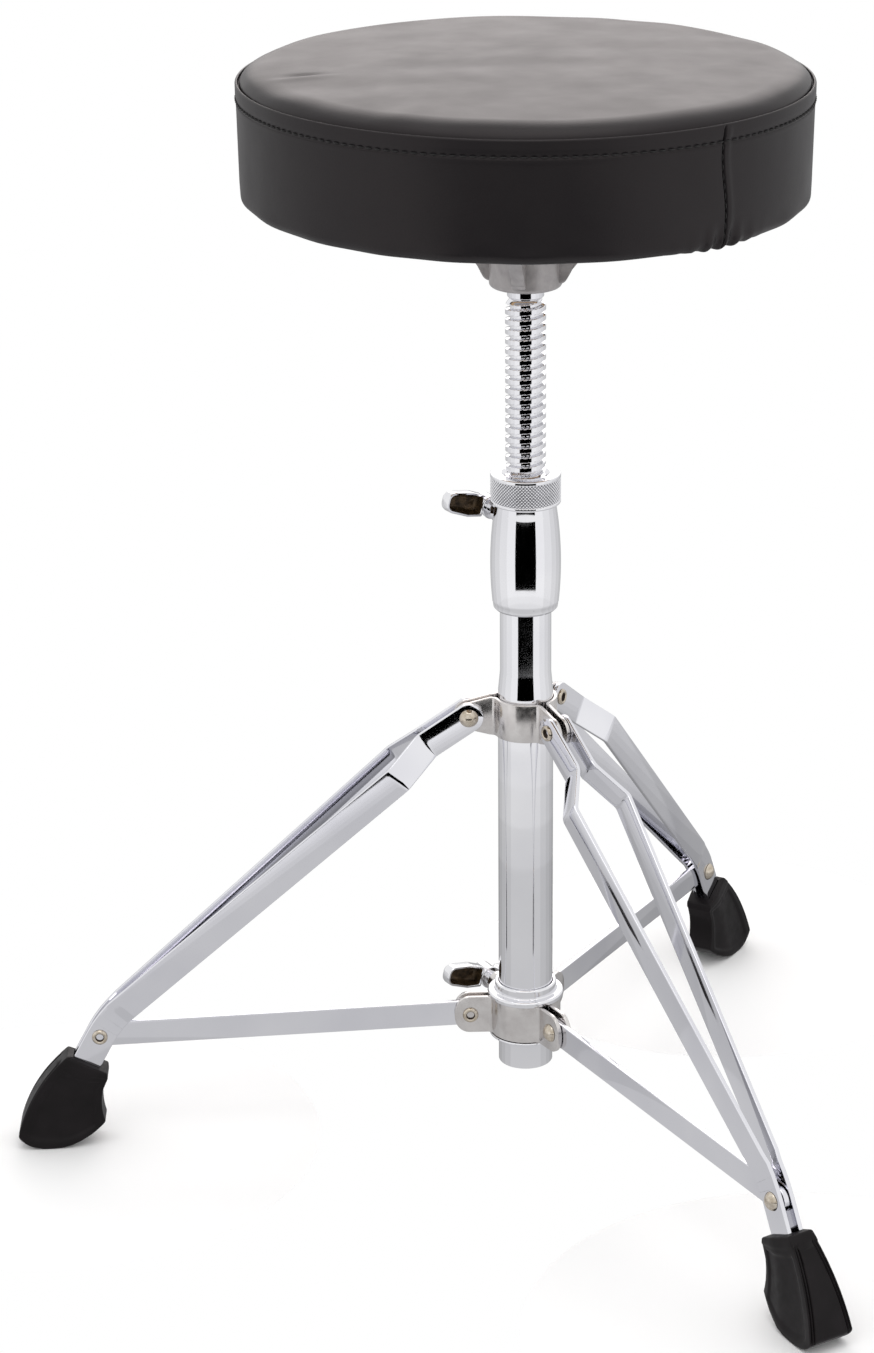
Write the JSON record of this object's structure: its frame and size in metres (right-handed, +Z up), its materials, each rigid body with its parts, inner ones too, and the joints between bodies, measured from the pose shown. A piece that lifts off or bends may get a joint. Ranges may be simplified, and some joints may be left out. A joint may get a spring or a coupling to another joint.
{
  "type": "drum throne",
  "caption": "Round padded stool seat on a threaded height post, over a folding double-braced tripod with rubber feet and wing screws.",
  "frame": {"origin": "on the floor, under the middle of the whole object's box", "axes": "+Z up along the post; -Y towards the front leg; +X to the right seen from the front"},
  "size_m": [0.5244, 0.4542, 0.629],
  "materials": {
    "chrome_tube": "mirror chrome plate on turned and drawn steel",
    "chrome_strip": "mirror chrome plate on flat steel bar",
    "satin_steel": "satin plated pressed steel",
    "rivet_nickel": "warm nickel plated rivets",
    "foot_rubber": "moulded black rubber, fine matt grain",
    "wing_chrome": "chrome plated die casting, raw inside",
    "shoe_brass": "turned brass",
    "nylon": "natural nylon",
    "painted_casting": "silver-grey paint on a casting",
    "zinc_screw": "bright zinc plate",
    "black_vinyl": "fine-grained black vinyl, soft sheen",
    "seat_foam": "open-cell polyurethane foam",
    "plywood": "birch plywood"
  },
  "bodies": {
    "stand": {"centre_tube": "chrome_tube", "post_housing": "chrome_tube", "post_guide_bush": "nylon", "top_bracket_plate_1": "satin_steel", "top_bracket_plate_2": "satin_steel", "top_bracket_plate_3": "satin_steel"},
    "height_nut": {"height_nut": "chrome_tube"},
    "post": {"threaded_post": "chrome_tube", "post_circlip": "zinc_screw"},
    "seat": {"seat_cover": "black_vinyl", "seat_foam": "seat_foam", "seat_board": "plywood", "seat_bracket": "painted_casting", "swivel_bush": "nylon", "seat_bracket_screw_1": "zinc_screw", "seat_bracket_screw_2": "zinc_screw", "seat_bracket_screw_3": "zinc_screw", "seat_bracket_screw_4": "zinc_screw"},
    "height_shoe": {"height_clamp_shoe": "shoe_brass"},
    "height_screw": {"height_wing_screw": "wing_chrome"},
    "collar": {"leg_collar": "chrome_tube", "collar_retaining_ring": "chrome_tube", "lower_bracket_plate_1": "satin_steel", "lower_bracket_plate_2": "satin_steel", "lower_bracket_plate_3": "satin_steel", "stay_rivet_1": "rivet_nickel", "stay_rivet_2": "rivet_nickel", "stay_rivet_3": "rivet_nickel"},
    "leg_shoe": {"leg_clamp_shoe": "shoe_brass"},
    "leg_screw": {"leg_wing_screw": "wing_chrome"},
    "stay_1": {"stay_1": "chrome_strip"},
    "leg_1": {"leg_1_left_strip": "chrome_strip", "leg_1_right_strip": "chrome_strip", "foot_rivet_1": "rivet_nickel", "top_rivet_1_head": "rivet_nickel", "top_rivet_1_tail": "rivet_nickel", "rubber_foot_1": "foot_rubber"},
    "stay_2": {"stay_2": "chrome_strip"},
    "leg_2": {"leg_2_left_strip": "chrome_strip", "leg_2_right_strip": "chrome_strip", "foot_rivet_2": "rivet_nickel", "top_rivet_2_head": "rivet_nickel", "top_rivet_2_tail": "rivet_nickel", "rubber_foot_2": "foot_rubber"},
    "stay_3": {"stay_3": "chrome_strip"},
    "leg_3": {"leg_3_left_strip": "chrome_strip", "leg_3_right_strip": "chrome_strip", "foot_rivet_3": "rivet_nickel", "top_rivet_3_head": "rivet_nickel", "top_rivet_3_tail": "rivet_nickel", "rubber_foot_3": "foot_rubber"}
  },
  "joints": [
    {"name": "post_slide", "type": "slide", "parent": "stand", "child": "post", "axis": [0, 0, 1], "range_m": [-0.095, 0.035]},
    {"name": "nut_turn", "type": "hinge", "parent": "stand", "child": "height_nut", "pos_m": [0, 0.06721, 0.394], "axis": [0, 0, 1], "range_deg": [-2300, 6230]},
    {"name": "seat_swivel", "type": "hinge", "parent": "post", "child": "seat", "pos_m": [0, 0.06721, 0.5075], "axis": [0, 0, 1], "continuous": true},
    {"name": "height_shoe_slide", "type": "slide", "parent": "stand", "child": "height_shoe", "axis": [0, 1, 0], "range_m": [0, 0.0026]},
    {"name": "height_screw_turn", "type": "hinge", "parent": "height_shoe", "child": "height_screw", "pos_m": [0, 0.10221, 0.373], "axis": [0, 1, 0], "range_deg": [0, 720]},
    {"name": "collar_slide", "type": "slide", "parent": "stand", "child": "collar", "axis": [0, 0, 1], "range_m": [0, 0.11]},
    {"name": "leg_shoe_slide", "type": "slide", "parent": "collar", "child": "leg_shoe", "axis": [0, 1, 0], "range_m": [0, 0.0026]},
    {"name": "leg_screw_turn", "type": "hinge", "parent": "leg_shoe", "child": "leg_screw", "pos_m": [0, 0.10521, 0.0822], "axis": [0, 1, 0], "range_deg": [0, 720]},
    {"name": "stay_1_fold", "type": "hinge", "parent": "collar", "child": "stay_1", "pos_m": [0, 0.03521, 0.0763], "axis": [1, 0, 0], "range_deg": [0, 82.78]},
    {"name": "leg_1_fold", "type": "hinge", "parent": "stay_1", "child": "leg_1", "pos_m": [0, -0.17819, 0.0676], "axis": [1, 0, 0], "range_deg": [-38.8, 0]},
    {"name": "stay_2_fold", "type": "hinge", "parent": "collar", "child": "stay_2", "pos_m": [0.02771, 0.08321, 0.0763], "axis": [-0.5, 0.866, 0], "range_deg": [0, 82.78]},
    {"name": "leg_2_fold", "type": "hinge", "parent": "stay_2", "child": "leg_2", "pos_m": [0.21252, 0.18991, 0.0676], "axis": [-0.5, 0.866, 0], "range_deg": [-38.8, 0]},
    {"name": "stay_3_fold", "type": "hinge", "parent": "collar", "child": "stay_3", "pos_m": [-0.02771, 0.08321, 0.0763], "axis": [-0.5, -0.866, 0], "range_deg": [0, 82.78]},
    {"name": "leg_3_fold", "type": "hinge", "parent": "stay_3", "child": "leg_3", "pos_m": [-0.21252, 0.18991, 0.0676], "axis": [-0.5, -0.866, 0], "range_deg": [-38.8, 0]}
  ],
  "couplings": [
    {"joint": "nut_turn", "follows": "post_slide", "rad_per_m": -1142.4},
    {"joint": "height_shoe_slide", "follows": "height_screw_turn", "m_per_rad": 0.00019894},
    {"joint": "leg_shoe_slide", "follows": "leg_screw_turn", "m_per_rad": 0.00019894},
    {"joint": "stay_1_fold", "follows": "collar_slide", "rad_per_m": 13.086},
    {"joint": "leg_1_fold", "follows": "collar_slide", "rad_per_m": -6.1085},
    {"joint": "stay_2_fold", "follows": "collar_slide", "rad_per_m": 13.086},
    {"joint": "leg_2_fold", "follows": "collar_slide", "rad_per_m": -6.1085},
    {"joint": "stay_3_fold", "follows": "collar_slide", "rad_per_m": 13.086},
    {"joint": "leg_3_fold", "follows": "collar_slide", "rad_per_m": -6.1085}
  ]
}
